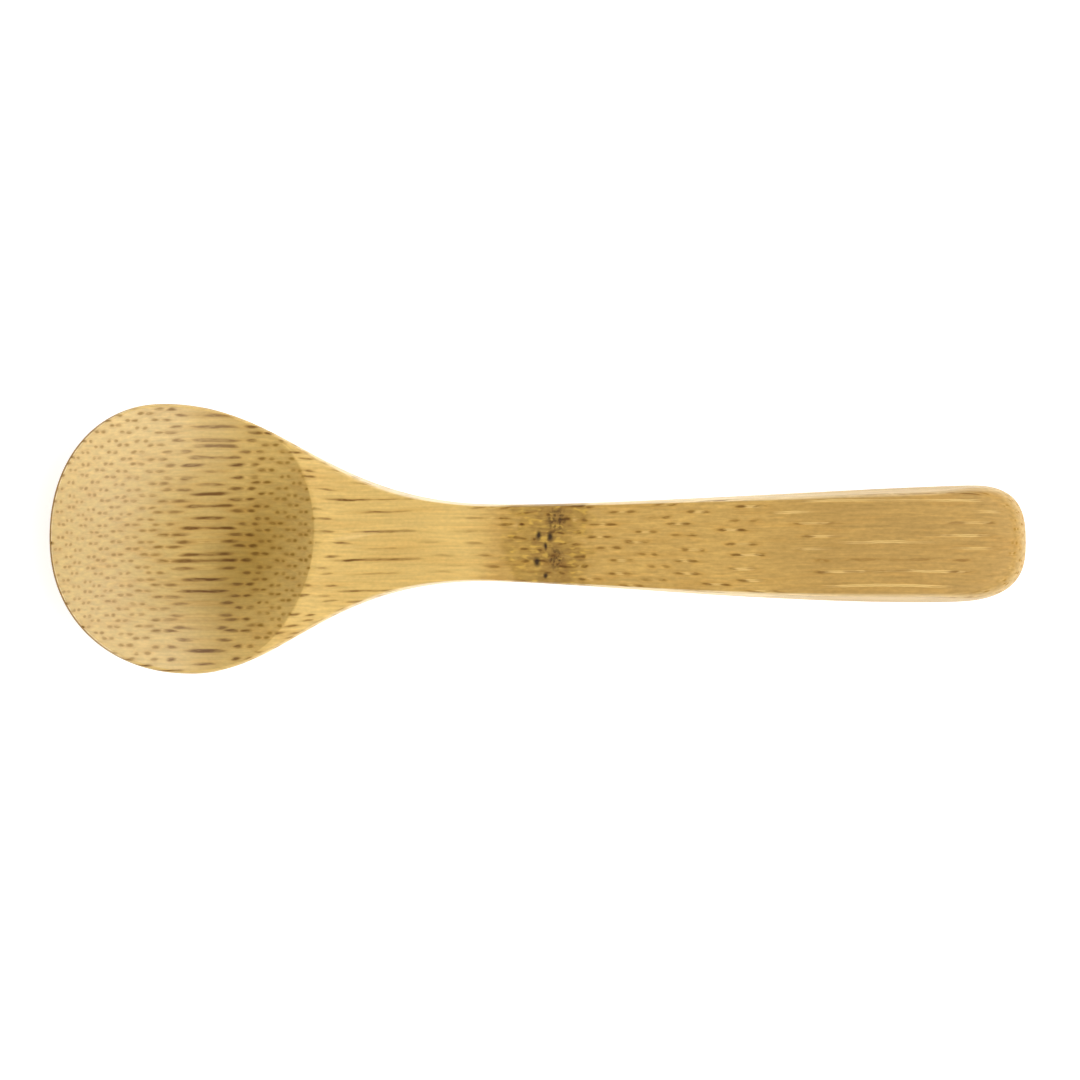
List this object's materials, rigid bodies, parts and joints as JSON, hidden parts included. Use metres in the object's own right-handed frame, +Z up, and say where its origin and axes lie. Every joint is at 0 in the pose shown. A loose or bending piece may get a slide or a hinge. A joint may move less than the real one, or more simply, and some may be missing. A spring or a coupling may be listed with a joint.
{
  "type": "salt spoon",
  "caption": "Small carved bamboo spoon: a shallow squarish bowl with a sharp back edge, a slim neck crossed by a culm node, and a handle that widens to a rounded end.",
  "frame": {"origin": "on the table, under the middle of the spoon's plan box", "axes": "+X from the lip to the handle's end, +Y to the left with the lip behind, +Z up, out of the bowl"},
  "size_m": [0.0888, 0.0246, 0.0064],
  "materials": {
    "bamboo": "sanded and oiled, satin"
  },
  "bodies": {
    "root": {"spoon": "bamboo"}
  },
  "joints": []
}
